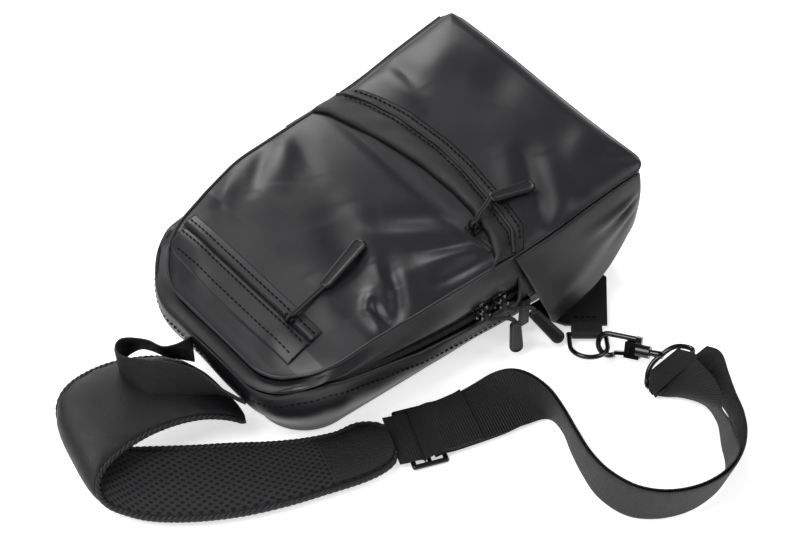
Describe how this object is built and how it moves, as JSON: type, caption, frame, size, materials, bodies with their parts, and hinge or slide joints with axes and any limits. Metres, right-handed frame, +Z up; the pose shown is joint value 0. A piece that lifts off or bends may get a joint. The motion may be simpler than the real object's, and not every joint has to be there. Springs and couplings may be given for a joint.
{
  "type": "sling bag",
  "caption": "Zipped sling bag lying on its back: domed body with pocket and band zips, padded shoulder strap, swivel snap hook, D-rings and grab handle.",
  "frame": {"origin": "middle of the back face, on the floor plane", "axes": "+X along the bag towards its wide, tall end; +Y across it, away from the main zipper pullers; +Z up, out of the front"},
  "size_m": [0.3954, 0.4189, 0.1131],
  "materials": {
    "shell_fabric": "coated, matte",
    "grain_leather": "fine grain, satin",
    "webbing": "ribbed weave",
    "air_mesh": "open knit",
    "foam": "matte",
    "lining": "smooth",
    "zip_tape": "twill",
    "zip_teeth": "satin",
    "black_metal": "gloss",
    "puller_rubber": "satin",
    "cord": "braid"
  },
  "bodies": {
    "bag": {"back_mesh": "air_mesh", "back_panel": "lining", "back_foam": "foam", "lower_gusset": "shell_fabric", "wide_gusset": "shell_fabric", "upper_gusset": "shell_fabric", "lining_tray": "lining", "inner_sleeve": "lining", "zip_tape_lower": "zip_tape", "zip_tape_upper": "zip_tape", "zip_teeth_lower": "zip_teeth", "zip_teeth_upper": "zip_teeth", "front_panel_lower": "shell_fabric", "front_panel_upper": "shell_fabric", "front_band": "grain_leather", "band_zip_tape": "zip_tape", "band_zip_teeth": "zip_teeth", "pocket_zip_tape": "zip_tape", "pocket_zip_teeth": "zip_teeth", "pocket_strip": "grain_leather", "pocket_liner": "lining", "band_liner": "lining", "wing_near": "shell_fabric", "wing_far": "shell_fabric", "zip_end_tab": "grain_leather", "ring_tab_near": "shell_fabric", "ring_tab_far": "shell_fabric", "ring_loop_near": "webbing", "ring_loop_far": "webbing", "hook_eye": "black_metal", "strap_outer": "webbing", "strap_inner": "webbing", "pad_cover": "grain_leather", "pad_foam": "foam", "pad_mesh": "air_mesh", "pad_tail": "webbing", "handle_loop": "webbing"},
    "main_slider_a": {"main_slider_a": "black_metal"},
    "main_puller_a": {"main_cord_a": "cord", "main_tab_a": "puller_rubber"},
    "main_slider_b": {"main_slider_b": "black_metal"},
    "main_puller_b": {"main_cord_b": "cord", "main_tab_b": "puller_rubber"},
    "pocket_slider": {"pocket_slider": "black_metal"},
    "pocket_puller": {"pocket_cord": "cord", "pocket_tab": "puller_rubber"},
    "band_slider": {"band_slider": "black_metal"},
    "band_puller": {"band_cord": "cord", "band_tab": "puller_rubber"},
    "near_ring": {"d_ring_near": "black_metal"},
    "far_ring": {"d_ring_far": "black_metal"},
    "hook": {"hook_body": "black_metal", "hook_rivet": "black_metal"},
    "gate": {"hook_gate": "black_metal"},
    "glide": {"tri_glide": "black_metal"}
  },
  "joints": [
    {"name": "main_zip_a", "type": "slide", "parent": "bag", "child": "main_slider_a", "axis": [0.9988, -0.0486, 0], "range_m": [-0.003, 0]},
    {"name": "main_puller_a_swing", "type": "hinge", "parent": "main_slider_a", "child": "main_puller_a", "pos_m": [0.01968, -0.09496, 0.0475], "axis": [0.9988, -0.0486, 0], "range_deg": [-10, 0]},
    {"name": "main_zip_b", "type": "slide", "parent": "bag", "child": "main_slider_b", "axis": [0.9988, -0.0486, 0], "range_m": [-0.05, 0]},
    {"name": "main_puller_b_swing", "type": "hinge", "parent": "main_slider_b", "child": "main_puller_b", "pos_m": [0.0047, -0.09424, 0.0475], "axis": [0.9988, -0.0486, 0], "range_deg": [-10, 0]},
    {"name": "pocket_zip", "type": "slide", "parent": "bag", "child": "pocket_slider", "axis": [0, 1, 0], "range_m": [-0.012, 0.08]},
    {"name": "pocket_puller_swing", "type": "hinge", "parent": "pocket_slider", "child": "pocket_puller", "pos_m": [-0.10426, -0.035, 0.07571], "axis": [0, 1, 0], "range_deg": [-100, 0]},
    {"name": "band_zip", "type": "slide", "parent": "bag", "child": "band_slider", "axis": [0, 1, 0], "range_m": [-0.012, 0.12]},
    {"name": "band_puller_swing", "type": "hinge", "parent": "band_slider", "child": "band_puller", "pos_m": [0.02577, -0.058, 0.08789], "axis": [0, 1, 0], "range_deg": [-100, 0]},
    {"name": "near_ring_swing", "type": "hinge", "parent": "bag", "child": "near_ring", "pos_m": [0.071, -0.123, 0.0046], "axis": [0.7604, -0.6494, 0], "range_deg": [-4, 4]},
    {"name": "far_ring_swing", "type": "hinge", "parent": "bag", "child": "far_ring", "pos_m": [0.071, 0.123, 0.0046], "axis": [0.7604, 0.6494, 0], "range_deg": [-3, 120]},
    {"name": "hook_swivel", "type": "hinge", "parent": "bag", "child": "hook", "pos_m": [0.08536, -0.16512, 0.01297], "axis": [-0.4306, 0.8863, -0.1703], "range_deg": [-8, 8]},
    {"name": "gate_open", "type": "hinge", "parent": "hook", "child": "gate", "pos_m": [0.07802, -0.15386, 0.0079], "axis": [0.8042, 0.2912, -0.5182], "range_deg": [0, 20]},
    {"name": "glide_along_strap", "type": "slide", "parent": "bag", "child": "glide", "axis": [0.9207, -0.3903, 0], "range_m": [0, 0.006]}
  ]
}
